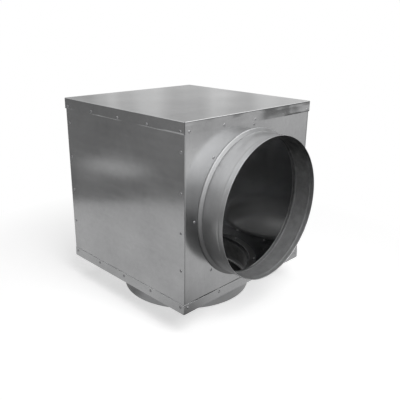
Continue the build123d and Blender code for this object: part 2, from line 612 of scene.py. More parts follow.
def grid_quads(rows: int, columns: int) -> np.ndarray:
    """Quads of a grid of points that is closed both ways.

    Args:
        rows: number of rows.
        columns: number of points in a row.

    Returns:
        Rows of four point numbers.
    """
    row = np.arange(rows)[:, None]
    column = np.arange(columns)[None, :]
    after = (row + 1) % rows
    beside = (column + 1) % columns
    corners = (
        row * columns + column,
        row * columns + beside,
        after * columns + beside,
        after * columns + column,
    )
    return np.stack([np.broadcast_to(c, (rows, columns)) for c in corners], axis=-1).reshape(-1, 4)


@dataclass
class RoundDuct:
    """One rolled spigot with its pressed collar, on a wall or on the pan.

    Both are closed profiles turned about the duct's axis: for a profile point
    at (along, out) and an angle a, the surface is centre + along * axis +
    (out + unevenness(along, a)) * (cos a, sin a) in the plane across the axis.
    Where inner_shade_thins_at is set, the painted light and shade on the inner
    faces thins out toward that angle. The collar's sizes are the play between
    its lip and the tube, how far its root, bead and flange stand out from the
    tube's outside, and its three bends.
    """

    label: str
    centre: np.ndarray
    axes: np.ndarray
    phase: float
    radius: float = 157.5 * MM
    sheet: float = 1.0 * MM
    reach: float = 60.0 * MM
    collar_face: float = 5.8 * MM
    tube_gap: float = 1.5 * MM
    groove_from_rim: float = 12.0 * MM
    groove_width: float = 6.0 * MM
    groove_depth: float = 0.4 * MM
    lip_play: float = 0.05 * MM
    root_out: float = 3.7 * MM
    bead_out: float = 7.5 * MM
    flange_out: float = 20.5 * MM
    flange_back: float = -2.0 * MM
    bead_start: float = 0.52 * MM
    fold_bend: float = 0.8 * MM
    bead_bend: float = 2.0 * MM
    back_bend: float = 0.55 * MM
    bead_slope: float = 22.0
    flange_rows: int = 7
    tube_uneven: float = 0.35 * MM
    collar_uneven: float = 0.15 * MM
    inner_shade_thins_at: float | None = None
    segments: int = 288

    def wall_profile(self) -> np.ndarray:
        """The tube's section: outside from root to rim, then inside back.

        Returns:
            Rows of (along, out), closed.
        """
        outer = self.tube_line(self.radius)
        inner = self.tube_line(self.radius - self.sheet)
        half = self.sheet / 2
        rounding = arc((self.reach - half, self.radius - half), half, 80, -80, 7)
        return np.vstack((outer, rounding, inner[::-1]))

    def tube_line(self, radius: float) -> np.ndarray:
        """The tube's outside or inside line: straight, with a rounded shallow groove.

        The groove's depth follows a raised cosine across its width.

        Args:
            radius: the line's radius.

        Returns:
            Rows of (along, out) from root to rim.
        """
        start = self.collar_face + self.tube_gap
        stop = self.reach - 0.5 * MM
        middle = self.reach - self.groove_from_rim
        half = self.groove_width / 2
        along = np.concatenate((
            np.linspace(start, middle - half - 1.0 * MM, 14),
            np.linspace(middle - half, middle + half, 13),
            np.linspace(middle + half + 1.0 * MM, stop, 5),
        ))
        share = np.clip(np.abs(along - middle) / half, 0.0, 1.0)
        dip = self.groove_depth * 0.5 * (1.0 + np.cos(np.pi * share))
        return np.column_stack((along, radius - dip))

    def collar_profile(self) -> np.ndarray:
        """The collar's section: flange, root, rolled bead and lip, as a 1 mm sheet.

        A middle line of straights and arcs is set out by half a sheet each way
        along its normals. The bead's front slopes down to the fold of the lip,
        and the lip's end is feathered onto the tube.

        Returns:
            Rows of (along, out), closed.
        """
        lip = self.radius - self.sheet - self.lip_play - self.sheet / 2
        root = self.radius + self.root_out - self.sheet / 2
        crown = self.radius + self.bead_out - self.sheet / 2
        back, near = self.flange_back, self.bead_start
        fold, bead, back_bend = self.fold_bend, self.bead_bend, self.back_bend
        tilt = math.radians(self.bead_slope)
        crest = near + back_bend + 0.1 * MM
        drop = (crown - lip - bead - fold + (bead + fold) * math.sin(tilt)) / math.cos(tilt)
        far = crest + (bead + fold) * math.cos(tilt) + drop * math.sin(tilt)
        line = np.vstack((
            [[back, self.radius + self.flange_out]],
            arc((back + fold, root + fold), fold, 180, 270, 6),
            arc((near - fold, root + fold), fold, 270, 360, 6),
            arc((near + back_bend, crown - back_bend), back_bend, 180, 90, 8),
            arc((crest, crown - bead), bead, 90, self.bead_slope, 12),
            arc((far, lip + fold), fold, 180 + self.bead_slope, 270, 6),
            np.column_stack((far + np.array([0.15, 1.0, 2.2, 3.4, 4.2]) * MM, np.full(5, lip))),
        ))
        step = np.gradient(line, axis=0)
        step /= np.linalg.norm(step, axis=1)[:, None]
        normal = np.column_stack((-step[:, 1], step[:, 0]))
        left = line + normal * self.sheet / 2
        thinned = np.append(np.ones(len(line) - 4), (0.9, 0.55, 0.1, -0.5))
        right = line - normal * thinned[:, None] * self.sheet / 2
        return np.vstack((left, right[::-1]))

    def turned(
        self, name: str, section: np.ndarray, uneven: float, inner: np.ndarray
    ) -> bpy.types.Object:
        """Turns a closed section about the axis.

        The unevenness is a sum of slow waves round the ring, uneven metres in
        all, that fades to nothing at the wall: it stands for hand rolling.

        Args:
            name: the piece's name.
            section: rows of (along, out).
            uneven: height of the waves in metres.
            inner: for each row of the section, how much of the painted inside light and shade the face
                after it gets.

        Returns:
            The turned piece, with a UV map in metres round and along it.
        """
        angle = np.linspace(0.0, 2.0 * np.pi, self.segments, endpoint=False)
        wave = (
            0.5 * np.sin(2 * angle + self.phase)
            + 0.3 * np.sin(3 * angle + 2.1 * self.phase)
            + 0.2 * np.sin(7 * angle - self.phase)
        )
        fade = np.clip(section[:, 0] / self.reach, 0.0, 1.0)
        out = section[:, 1][None, :] + uneven * wave[:, None] * fade[None, :]
        along = np.broadcast_to(section[:, 0][None, :], out.shape)
        local = np.stack(
            (out * np.cos(angle)[:, None], out * np.sin(angle)[:, None], along), axis=-1
        ).reshape(-1, 3)
        points = self.centre + local @ self.axes.T
        rows, columns = out.shape
        steps = np.linalg.norm(np.diff(section, axis=0), axis=1)
        length = np.concatenate(([0.0], np.cumsum(steps)))
        round_u = np.arange(rows + 1) * (2.0 * np.pi * self.radius / rows)
        row = np.repeat(np.arange(rows), columns)
        column = np.tile(np.arange(columns), rows)
        far = length[-1] + np.linalg.norm(section[-1] - section[0])
        ahead = np.append(length[1:], far)[column]
        uv = np.stack((
            np.stack((round_u[row], length[column]), axis=-1),
            np.stack((round_u[row], ahead), axis=-1),
            np.stack((round_u[row + 1], ahead), axis=-1),
            np.stack((round_u[row + 1], length[column]), axis=-1),
        ), axis=1)
        around = np.ones(rows)
        if self.inner_shade_thins_at is not None:
            around = 0.5 - 0.5 * np.cos(angle - math.radians(self.inner_shade_thins_at))
        inside = np.outer(around, inner).ravel()
        return make_mesh(name, points, grid_quads(rows, columns).tolist(), uv, {"inside": inside})

    def build(self, finish: bpy.types.Material, pressed: bpy.types.Material) -> None:
        """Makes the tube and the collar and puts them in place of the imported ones.

        Args:
            finish: the rolled sheet's material, on UV coordinates.
            pressed: the collar's material.
        """
        section = self.wall_profile()
        row = np.arange(len(section))
        inner = (row >= len(section) // 2).astype(float)
        tube = self.turned(f"{self.label}_rolled_tube", section, self.tube_uneven, inner)
        section = self.collar_profile()
        row = np.arange(len(section))
        before_flange = row < len(section) - self.flange_rows
        inner = ((row >= len(section) // 2) & before_flange).astype(float)
        collar = self.turned(f"{self.label}_pressed_collar", section, self.collar_uneven, inner)
        for piece, node, metal in (
            (tube, f"{self.label}_spigot", finish), (collar, f"{self.label}_collar", pressed)
        ):
            dress(piece, metal)
            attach(piece, "root")
            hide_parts(node)
            LOG.info("%s: %d faces", piece.name, len(piece.data.polygons))


@dataclass
class RivetBatch:
    """A group of blind rivets: domed head, broken stem in its middle, swollen tail.

    Each rivet is one closed profile turned about its own axis. The same head
    is used for all, and the tail is moved back by what the joint is thicker.
    """

    node: str
    places: np.ndarray
    axes: np.ndarray
    grips: np.ndarray
    segments: int = 20

    def section(self) -> tuple[np.ndarray, np.ndarray]:
        """The half section of a rivet from the stem's tip to the tail's end.

        Returns:
            Rows of (out, up) in metres for a joint of no thickness, and for
            each row whether it belongs to the tail.
        """
        head = np.array([
            [0.00, 0.62], [0.55, 0.60], [0.78, 0.50], [0.84, 0.30], [0.98, 0.32], [1.06, 0.98],
            [1.30, 1.10], [1.80, 1.04], [2.40, 0.82], [2.85, 0.52], [3.12, 0.22], [3.20, 0.00],
            [1.60, 0.00],
        ])
        tail = np.array([
            [1.60, 0.00], [2.20, -0.15], [2.50, -0.80], [2.45, -1.80], [2.05, -2.70],
            [1.65, -3.10], [1.45, -3.45], [0.80, -3.50], [0.00, -3.50],
        ])
        rows = np.vstack((head, tail)) * MM
        behind = np.arange(len(rows)) >= len(head)
        return rows, behind

    def build(self, finish: bpy.types.Material) -> None:
        """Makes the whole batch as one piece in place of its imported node.

        Args:
            finish: the rivets' material.
        """
        rows, behind = self.section()
        angle = np.linspace(0.0, 2.0 * np.pi, self.segments, endpoint=False)
        ring = np.stack((np.cos(angle), np.sin(angle)), axis=-1)
        body = rows[1:-1]
        flat = body[:, None, 0, None] * ring[None, :, :]
        height = np.broadcast_to(body[:, 1][:, None, None], flat.shape[:2] + (1,))
        shell = np.concatenate((flat, height), axis=-1).reshape(-1, 3)
        poles = np.array([[0.0, 0.0, rows[0, 1]], [0.0, 0.0, rows[-1, 1]]])
        base = np.vstack((shell, poles))
        moved = np.concatenate((np.repeat(behind[1:-1], self.segments), [False, True]))
        count = len(self.places)
        points = np.broadcast_to(base, (count,) + base.shape).copy()
        points[:, :, 2] -= moved[None, :] * self.grips[:, None]
        points = self.places[:, None, :] + np.einsum("kij,knj->kni", self.axes, points)
        rings = len(body)
        row = np.arange(rings - 1)[:, None]
        column = np.arange(self.segments)[None, :]
        beside = (column + 1) % self.segments
        quads = np.stack((
            row * self.segments + column,
            (row + 1) * self.segments + column,
            (row + 1) * self.segments + beside,
            row * self.segments + beside,
        ), axis=-1).reshape(-1, 4)
        top, bottom = len(shell), len(shell) + 1
        start = np.arange(self.segments)
        following = (start + 1) % self.segments
        last = (rings - 1) * self.segments
        cap = np.stack((start, following, np.full_like(start, top)), axis=-1)
        foot = np.stack((last + following, last + start, np.full_like(start, bottom)), axis=-1)
        offsets = np.arange(count)[:, None, None] * len(base)
        faces = []
        for block in (quads, cap, foot):
            faces += (block[None] + offsets).reshape(-1, block.shape[1]).tolist()
        piece = make_mesh(f"{self.node}_domed", points.reshape(-1, 3), faces, crease=50.0)
        dress(piece, finish)
        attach(piece, "root")
        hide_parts(self.node)
        LOG.info("%s: %d rivets", piece.name, count)


@dataclass
class Riveting:
    """All rivets of the box, set out as in the model, in metres."""

    half: float = 200.0 * MM
    margin: float = 10.0 * MM
    sheet: float = 1.0 * MM
    seam_gap: float = 0.5 * MM
    cover_gap: float = 1.0 * MM
    pan_gap: float = 0.4 * MM
    cover_level: float = 441.0 * MM
    pan_level: float = 74.5 * MM
    seam_first: float = 157.5 * MM
    seam_pitch: float = 81.5 * MM
    circle: float = 172.5 * MM
    inlet_turn: float = 0.0
    outlet_turn: float = -38.5
    row_count: int = 5
    seam_count: int = 4
    ring_count: int = 8

    def edge_row(self, node: str, side: Side, level: float, gap: float) -> RivetBatch:
        """A row along a side; the end rivets on a side panel also pass the fold.

        Args:
            node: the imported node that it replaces.
            side: the side of the box.
            level: the row's height.
            gap: room for the sealing strip between the two sheets.

        Returns:
            The batch of the row.
        """
        count = self.row_count
        axes = side_axes(side)
        along = np.linspace(-(self.half - self.margin), self.half - self.margin, count)
        out = self.half + gap + self.sheet
        local = np.column_stack((along, np.full(count, level), np.full(count, out)))
        grips = np.full(count, 2 * self.sheet + gap)
        if side in (Side.LEFT, Side.RIGHT):
            grips[[0, -1]] += self.sheet + self.seam_gap
        return RivetBatch(node, local @ axes.T, np.broadcast_to(axes, (count, 3, 3)), grips)

    def seam(self, node: str, side: Side, end: float) -> RivetBatch:
        """A column up a vertical seam, at one end of a side panel.

        Args:
            node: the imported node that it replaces.
            side: the side panel's side of the box.
            end: -1 or 1, for the end of the panel.

        Returns:
            The batch of the column.
        """
        count = self.seam_count
        axes = side_axes(side)
        level = self.seam_first + self.seam_pitch * np.arange(count)
        along = np.full(count, end * (self.half - self.margin))
        local = np.column_stack((along, level, np.full(count, self.half)))
        grips = np.full(count, 2 * self.sheet + self.seam_gap)
        return RivetBatch(node, local @ axes.T, np.broadcast_to(axes, (count, 3, 3)), grips)

    def ring(self, node: str, duct: RoundDuct, start: float) -> RivetBatch:
        """A circle of rivets round a spigot.

        Args:
            node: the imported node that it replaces.
            duct: the spigot.
            start: the first rivet's angle in degrees, about the spigot's axis.

        Returns:
            The batch of the circle.
        """
        count = self.ring_count
        angle = np.radians(start + 360.0 / count * np.arange(count))
        across, up = self.circle * np.cos(angle), self.circle * np.sin(angle)
        local = np.column_stack((across, up, np.zeros(count)))
        grips = np.full(count, 2 * self.sheet + self.seam_gap)
        turned = np.broadcast_to(duct.axes, (count, 3, 3))
        return RivetBatch(node, duct.centre + local @ duct.axes.T, turned, grips)

    def build(self, finish: bpy.types.Material, inlet: RoundDuct, outlet: RoundDuct) -> None:
        """Makes every batch.

        Args:
            finish: the rivets' material.
            inlet: the side spigot, for its place.
            outlet: the bottom spigot, for its place.
        """
        batches = []
        for side in Side:
            name = f"{side.name.lower()}_side"
            batches += [
                self.edge_row(f"cover_rivets_{name}", side, self.cover_level, self.cover_gap),
                self.edge_row(f"pan_rivets_{name}", side, self.pan_level, self.pan_gap),
            ]
        batches += [
            self.seam("seam_rivets_inlet_right", Side.RIGHT, -1.0),
            self.seam("seam_rivets_rear_right", Side.RIGHT, 1.0),
            self.seam("seam_rivets_rear_left", Side.LEFT, -1.0),
            self.seam("seam_rivets_inlet_left", Side.LEFT, 1.0),
            self.ring("inlet_spigot_rivets", inlet, self.inlet_turn),
            self.ring("outlet_spigot_rivets", outlet, self.outlet_turn),
        ]
        for batch in batches:
            batch.build(finish)


@dataclass
class FoldedTray:
    """The cover or the pan as hand-folded sheet: not quite flat, its skirts bowed.

    The sheet is laid out flat over (u, v) from its middle and then folded:
    past the fold's start the distance t = |u| - start runs round a bend of the
    fold's radius and then down the skirt. Every point is moved along its own
    normal by height(u, v), so both faces stay one sheet apart. The pan is the
    same tray turned over, with a round opening and skirts that lean inwards.
    """

    node: str = "top_cover"
    half: float = 202.0 * MM
    level: float = 460.0 * MM
    upright: float = 1.0
    depth: float = 24.0 * MM
    opening: float = 0.0
    sag: float = 0.12 * MM
    bow: float = 0.5 * MM
    lean: float = 0.0
    dull_edge: float = 0.0
    buckle: float = 1.4 * MM
    buckled: Pair = (8.0 * MM, 128.0 * MM)
    flare: float = 0.8 * MM
    sheet: float = 1.0 * MM
    bend: float = 1.3 * MM
    relief: float = 1.35 * MM
    rivet_span: float = 190.0 * MM
    flare_height: float = 4.0 * MM
    opening_rows: int = 13

    def lines(self) -> np.ndarray:
        """Grid lines across the flat sheet, close together in the folds.

        Returns:
            Their distances from the middle, from one raw edge to the other.
        """
        start = self.half - self.bend
        quarter = self.bend * np.pi / 2
        skirt = self.depth - self.bend
        inner = np.linspace(0.0, self.half - self.relief, 61)
        fold = start + np.linspace(0.0, quarter, 7)
        down = start + quarter + np.concatenate(
            (np.linspace(0.0, skirt - self.flare_height, 10)[1:],
             np.linspace(skirt - self.flare_height, skirt, 7)[1:])
        )
        side = np.concatenate((inner, fold, down))
        return np.concatenate((-side[:0:-1], side))

    def height(self, u: np.ndarray, v: np.ndarray) -> np.ndarray:
        """How far each point stands off the true sheet, in metres.

        On the top: slow waves, sag * product of sines. On a skirt, with s the
        distance along it: a bow between the rivets, bow * (1 - cos(2 pi s /
        pitch)) / 2, growing to the raw edge, and at the edge a flare that
        varies along it. The +X and +Y skirts flare only at one end. The lean
        also grows to the raw edge, and so does the buckle, which pushes one
        stretch of the +X skirt outwards.

        Args:
            u: distances from the middle along X on the flat sheet.
            v: distances from the middle along Y.

        Returns:
            The heights, outwards.
        """
        start = self.half - self.bend + self.bend * np.pi / 2
        skirt = self.depth - self.bend
        waves = (
            np.sin(23.0 * u + 11.0 * v + 0.7) * np.cos(19.0 * v - 7.0 * u)
            + 0.5 * np.sin(41.0 * u - 17.0 * v + 2.0)
        )
        edge = np.clip((self.half - np.maximum(np.abs(u), np.abs(v))) / (30.0 * MM), 0.0, 1.0)
        total = self.sag * waves * edge
        pitch = self.rivet_span / 2
        for across, along in ((u, v), (v, u)):
            hand = np.sign(across)
            drop = np.clip((np.abs(across) - start) / skirt, 0.0, 1.0)
            bowed = 0.5 * (1.0 - np.cos(2.0 * np.pi * along / pitch))
            uneven = 1.0 + 0.5 * np.sin(37.0 * along + 9.0 * hand) + 0.3 * np.sin(91.0 * along + 1.0)
            last = np.clip((drop * skirt - skirt + self.flare_height) / self.flare_height, 0.0, 1.0)
            lip = 0.8 + 0.2 * np.sin(53.0 * along + 4.0 * hand) * np.sin(17.0 * along + 0.6)
            lip = lip * np.where(across < 0.0, 1.0, 0.35 * np.clip(along / (20.0 * MM) - 5.0, 0.0, 1.0))
            total = total + drop * (self.bow * bowed * uneven + self.lean) + self.flare * last**2 * lip
        near = np.clip((v - self.buckled[0]) / (30.0 * MM), 0.0, 1.0)
        far = np.clip((self.buckled[1] - v) / (14.0 * MM), 0.0, 1.0)
        return total + self.buckle * np.clip((u - start) / skirt, 0.0, 1.0) * near * far

    def folded(self, u: np.ndarray, v: np.ndarray, inward: float) -> np.ndarray:
        """Folds flat points at the four sides.

        Args:
            u: distances from the middle along X on the flat sheet.
            v: distances from the middle along Y.
            inward: how far under the outer face they lie.

        Returns:
            Rows of x, y, z.
        """
        start = self.half - self.bend
        quarter = self.bend * np.pi / 2
        flat_x = np.clip(u, -start, start)
        flat_y = np.clip(v, -start, start)
        past = np.maximum(np.abs(u), np.abs(v)) - start
        turn = np.clip(past / self.bend, 0.0, np.pi / 2)
        down = np.clip(past - quarter, 0.0, None)
        radius = self.bend - inward + self.height(u, v)
        out = radius * np.sin(turn)
        rise = radius * np.cos(turn)
        to_x = np.where(np.abs(u) > start, np.sign(u), 0.0)
        to_y = np.where(np.abs(v) > start, np.sign(v), 0.0)
        across = self.upright * (flat_y + to_y * out)
        height = self.level + self.upright * (rise - down - self.bend)
        return np.column_stack((flat_x + to_x * out, across, height))

    def layout(self) -> tuple[np.ndarray, np.ndarray]:
        """The sheet laid out flat, with open corners and the round opening.

        Round an opening the flat part is a ring of rows that go evenly from
        the circle to the square on which the folds start.

        Returns:
            Rows of (u, v), and quads as point numbers, anticlockwise.
        """
        lines = self.lines()
        count = len(lines)
        points = np.column_stack([axis.ravel() for axis in np.meshgrid(lines, lines, indexing="ij")])
        beyond = np.abs((lines[1:] + lines[:-1]) / 2) > self.half - self.relief
        kept = ~(beyond[:, None] & beyond[None, :])
        if self.opening:
            kept &= beyond[:, None] | beyond[None, :]
        row, column = np.nonzero(kept)
        corner = row * count + column
        quads = np.column_stack((corner, corner + count, corner + count + 1, corner + 1))
        if self.opening:
            flat = lines[np.abs(lines) <= self.half - self.relief]
            end = np.full(len(flat) - 1, flat[-1])
            walk = np.vstack([
                np.column_stack(pair) for pair in (
                    (flat[:-1], -end), (end, flat[:-1]), (flat[:0:-1], end), (-end, flat[:0:-1]),
                )
            ])
            circle = self.opening * walk / np.linalg.norm(walk, axis=1)[:, None]
            share = np.linspace(0.0, 1.0, self.opening_rows)[:, None, None]
            rows = ((1.0 - share) * circle + share * walk).reshape(-1, 2)
            closed = grid_quads(self.opening_rows, len(walk))
            open_quads = closed[: -len(walk), ::-1]
            quads = np.vstack((quads, open_quads + len(points)))
            points = np.vstack((points, rows))
        _, first, same = np.unique(
            np.round(points / (0.01 * MM)), axis=0, return_index=True, return_inverse=True
        )
        return points[first], same.reshape(-1)[quads]

    def build(self, finish: bpy.types.Material) -> None:
        """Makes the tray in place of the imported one.

        Args:
            finish: its material.
        """
        flat, quads = self.layout()
        size = len(flat)
        u, v = flat[:, 0], flat[:, 1]
        start = np.concatenate([quads[:, i] for i in range(4)])
        stop = np.concatenate([quads[:, (i + 1) % 4] for i in range(4)])
        rim = ~np.isin(start * size + stop, stop * size + start)
        walls = np.column_stack((stop[rim], start[rim], start[rim] + size, stop[rim] + size))
        points = np.vstack((self.folded(u, v, 0.0), self.folded(u, v, self.sheet)))
        faces = np.vstack((quads, quads[:, ::-1] + size, walls))
        used, faces = np.unique(faces, return_inverse=True)
        cut = self.dull_edge * (np.arange(2 * len(quads) + len(walls)) >= 2 * len(quads))
        faces = faces.reshape(-1, 4).tolist()
        piece = make_mesh(f"{self.node}_folded", points[used], faces, marks={"cut": cut})
        dress(piece, finish)
        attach(piece, "root")
        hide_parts(self.node)
        LOG.info("%s: %d faces", piece.name, len(piece.data.polygons))


@dataclass
class Casing:
    """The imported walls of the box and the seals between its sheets."""

    ends: tuple[str, ...] = ("inlet_panel", "rear_panel")
    sides: tuple[str, ...] = ("left_side_panel", "right_side_panel")

    def build(
        self, end: bpy.types.Material, side: bpy.types.Material, seal: bpy.types.Material
    ) -> None:
        """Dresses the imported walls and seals.

        Args:
            end: finish of the inlet panel and the rear panel.
            side: finish of the two side panels.
            seal: finish of the sealing strips.
        """
        seals = tuple(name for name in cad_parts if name.endswith("_seal"))
        for names, finish in ((self.ends, end), (self.sides, side), (seals, seal)):
            for name in names:
                dress(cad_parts[name], finish)
                LOG.info("%s: dressed in %s", name, finish.name)


@dataclass(frozen=True)
class FarPatch:
    """A soft round patch on the far walls of the room.

    Fields are the direction in which it lies, the dot products with that
    direction at its edge and where it is full, and its full strength.
    """

    direction: Triple
    edges: Pair
    full: float

    def strength(self, mix: Recipe, way: Socket) -> Socket:
        """Adds the patch's pattern.

        Args:
            mix: the recipe to add to.
            way: the direction in which the room is seen.

        Returns:
            The strength's socket.
        """
        return mix.span(mix.toward(way, self.direction), self.edges, (0.0, self.full))


@dataclass(frozen=True)
class NearPatch:
    """A soft oval patch of light on a surface, or of shade where its glow is below 0.

    Fields are its middle and its half sizes in metres, how much it adds in its
    middle, how far it is turned about the upright axis and how far its own X
    end is lowered first, in degrees.
    """

    centre: Triple
    radii: Triple
    glow: float
    turn: float = 0.0
    dip: float = 0.0

    def added(self, mix: Recipe, level: object) -> Socket:
        """Adds the patch to a level of light.

        Args:
            mix: the recipe to add to.
            level: socket or number.

        Returns:
            The new level's socket.
        """
        spot = mix.node("ShaderNodeTexCoord")
        mapping = mix.node("ShaderNodeMapping", vector_type="TEXTURE")
        mapping.inputs["Location"].default_value = self.centre
        turned = (0.0, math.radians(self.dip), math.radians(self.turn))
        mapping.inputs["Rotation"].default_value = turned
        mapping.inputs["Scale"].default_value = self.radii
        mix.join(spot.outputs["Object"], mapping.inputs["Vector"])
        soft = mix.node("ShaderNodeMapRange", interpolation_type="SMOOTHSTEP")
        soft.inputs["From Min"].default_value = 1.0
        soft.inputs["From Max"].default_value = 0.3
        mix.join(mix.distance(mapping.outputs["Vector"]), soft.inputs["Value"])
        return mix.math("MULTIPLY_ADD", soft.outputs["Result"], self.glow, level)


@dataclass
class Studio:
    """Floor, world, lamps, a grey card that only reflections see, and the camera.

    The patches are what the metal reflects. The far ones lie on the room's
    walls: key, upper_edge and left_window are bright, dark_side and low_strip
    are dark, and distant_floor darkens a sector of the floor. The near ones
    are painted on the floor and on the card.
    """

    lens: float = 45.855
    eye: Triple = (0.8584, -0.8291, 0.6317)
    azimuth: float = 44.45
    elevation: float = 19.37
    roll: float = 0.83
    fill: float = 0.05
    floor_lift: float = 0.56
    floor_half: float = 8.0
    mouth_edge: Pair = (0.150, 0.158)
    lamp_aim: Triple = (0.0, 0.0, 0.25)
    key: FarPatch = FarPatch((0.66, -0.05, 0.75), (0.60, 0.94), 1.6)
    dark_side: FarPatch = FarPatch((0.66, 0.67, 0.34), (0.82, 0.95), 0.12)
    low_strip: FarPatch = FarPatch((0.66, 0.75, 0.0), (0.85, 0.95), 0.42)
    upper_edge: FarPatch = FarPatch((0.085, 0.67, 0.733), (0.88, 0.97), 1.7)
    left_window: FarPatch = FarPatch((-0.66, -0.33, 0.67), (0.90, 0.98), 0.9)
    distant_floor: FarPatch = FarPatch((0.6, 0.8, 0.0), (0.80, 0.92), 1.0)
    gleam: NearPatch = NearPatch((1.1, 0.7, 0.0), (0.85, 0.85, 1.0), 0.22)
    front_shade: NearPatch = NearPatch((0.59, -0.52, 0.0), (0.78, 0.40, 1.0), -0.42, -45.0)
    under_inlet: NearPatch = NearPatch((0.27, -0.18, 0.0), (0.12, 0.13, 1.0), -0.17)
    beside_mouth: NearPatch = NearPatch((-0.06, -0.155, 0.0), (0.085, 0.05, 1.0), -0.26, -25.0)
    before_inlet: NearPatch = NearPatch((0.60, -0.13, 0.0), (0.25, 0.08, 1.0), -0.22)
    far_gleam: NearPatch = NearPatch((1.6, 2.4, 0.0), (0.8, 0.8, 1.0), 0.14)
    in_mouth: NearPatch = NearPatch((-0.045, -0.075, 0.0), (0.085, 0.06, 1.0), 0.12, -15.0)
    card_middle: Triple = (-0.605, -0.605, 0.0)
    card_half: float = 1.6
    card_height: float = 0.55
    card_glow: float = 0.18
    above_streak: NearPatch = NearPatch((-0.42, -0.79, 0.26), (0.24, 0.24, 0.16), 0.05)
    card_top: NearPatch = NearPatch((-0.345, -0.865, 0.50), (0.24, 0.24, 0.14), 0.40)
    streak: NearPatch = NearPatch((-0.60, -0.63, 0.130), (0.175, 0.5, 0.04), 0.36, -45.0, 9.0)

    def camera(self) -> None:
        """Sets the camera at the photograph's place and angle."""
        data = bpy.data.cameras.new("studio_camera")
        data.lens = self.lens
        data.sensor_width = 36.0
        made = bpy.data.objects.new("studio_camera", data)
        azimuth, elevation = math.radians(self.azimuth), math.radians(self.elevation)
        roll = math.radians(self.roll)
        back = np.array([
            math.sin(azimuth) * math.cos(elevation),
            -math.cos(azimuth) * math.cos(elevation),
            math.sin(elevation),
        ])
        right = np.array([math.cos(azimuth), math.sin(azimuth), 0.0])
        up = np.cross(back, right)
        right_rolled = math.cos(roll) * right + math.sin(roll) * up
        up_rolled = -math.sin(roll) * right + math.cos(roll) * up
        place = np.eye(4)
        place[:3, 0], place[:3, 1], place[:3, 2] = right_rolled, up_rolled, back
        place[:3, 3] = self.eye
        made.matrix_world = Matrix(place.tolist())
        bpy.context.scene.collection.objects.link(made)
        bpy.context.scene.camera = made

    def world(self) -> None:
        """White for the camera, a soft grey room with faint upright bands for gloss."""
        world = bpy.data.worlds.new("studio_world")
        world.use_nodes = True
        mix = Recipe("studio_room", world.node_tree)
        path = mix.node("ShaderNodeLightPath")
        way = mix.node("ShaderNodeTexCoord").outputs["Generated"]
        upright = mix.node("ShaderNodeMapping")
        upright.inputs["Scale"].default_value = (1.0, 1.0, 0.08)
        mix.join(way, upright.inputs["Vector"])
        streaks = mix.noise(upright.outputs["Vector"], 0.16, 6.0, 0.75)
        bands = mix.span(streaks, (0.38, 0.62), (-0.22, 0.22))
        height = mix.axis(way, "Z")
        glow = mix.span(height, (0.09, 0.18), (0.70, 0.48))
        key = self.key.strength(mix, way)
        near_floor = mix.span(height, (0.04, 0.12), (1.0, 0.0))
        strip = mix.math("MULTIPLY", self.low_strip.strength(mix, way), near_floor)
        dark = mix.math("ADD", self.dark_side.strength(mix, way), strip)
        dark = mix.math("SUBTRACT", dark, self.upper_edge.strength(mix, way))
        dark = mix.math("SUBTRACT", dark, self.left_window.strength(mix, way))
        room = mix.math("SUBTRACT", mix.math("ADD", glow, bands), dark)
        room = mix.math("SUBTRACT", mix.math("ADD", room, key), self.fill)
        level = mix.math("MULTIPLY_ADD", room, path.outputs["Is Glossy Ray"], self.fill)
        level = mix.math("MULTIPLY_ADD", path.outputs["Is Camera Ray"], 1.0 - self.fill, level)
        surround = mix.node("ShaderNodeBackground")
        surround.inputs["Color"].default_value = (1.0, 1.0, 1.0, 1.0)
        mix.join(level, surround.inputs["Strength"])
        output = mix.node("ShaderNodeOutputWorld")
        mix.join(surround.outputs[0], output.inputs["Surface"])
        bpy.context.scene.world = world

    def floor(self) -> None:
        """A pale floor with three looks, one for each kind of ray.

        The camera sees the lit floor with the box's shadow, lifted to white
        outside the outlet's mouth, and plain white from 0.78 m out; inside the
        mouth the floor's colour is near black, painted shade under the box.
        Reflections see a pale room floor, shaded toward the camera and brighter
        behind the inlet's side, with painted shade and a faint painted sheen
        inside the outlet's mouth. Diffuse light gets a dim floor. A camera below
        the floor looks through it.
        """
        mix = Recipe("pale_floor")
        lit = mix.surface(0.0)
        cloud = mix.noise(mix.place(EVEN), 0.4, 2.0, 0.5)
        path = mix.node("ShaderNodeLightPath")
        there = mix.node("ShaderNodeTexCoord").outputs["Object"]
        away = mix.distance(there)
        # Inside the outlet's mouth the floor's colour falls to near black and loses its lift: painted
        # shade under the box.
        tone = mix.math("MULTIPLY_ADD", cloud, 0.3, mix.span(away, self.mouth_edge, (-0.2, 0.85)))
        mix.join(mix.blend((0.03, 0.03, 0.03), (0.8, 0.8, 0.8), tone), lit.inputs["Base Color"])
        lit.inputs["Roughness"].default_value = 0.9
        lit.inputs["Specular IOR Level"].default_value = 0.0
        lit.inputs["Emission Color"].default_value = (1.0, 1.0, 1.0, 1.0)
        outside = mix.math("GREATER_THAN", away, self.mouth_edge[1])
        mix.join(mix.math("MULTIPLY", outside, self.floor_lift), lit.inputs["Emission Strength"])
        room = mix.math("MULTIPLY_ADD", cloud, 0.06, 0.48)
        for patch in (
            self.gleam, self.front_shade, self.under_inlet, self.beside_mouth, self.before_inlet,
            self.far_gleam,
        ):
            room = patch.added(mix, room)
        outward = mix.node("ShaderNodeVectorMath", operation="NORMALIZE")
        mix.join(there, outward.inputs[0])
        sector = self.distant_floor.strength(mix, outward.outputs["Vector"])
        distant = mix.math("MULTIPLY", sector, mix.span(away, (3.9, 4.5), (0.0, 0.33)))
        room = mix.math("SUBTRACT", room, distant)
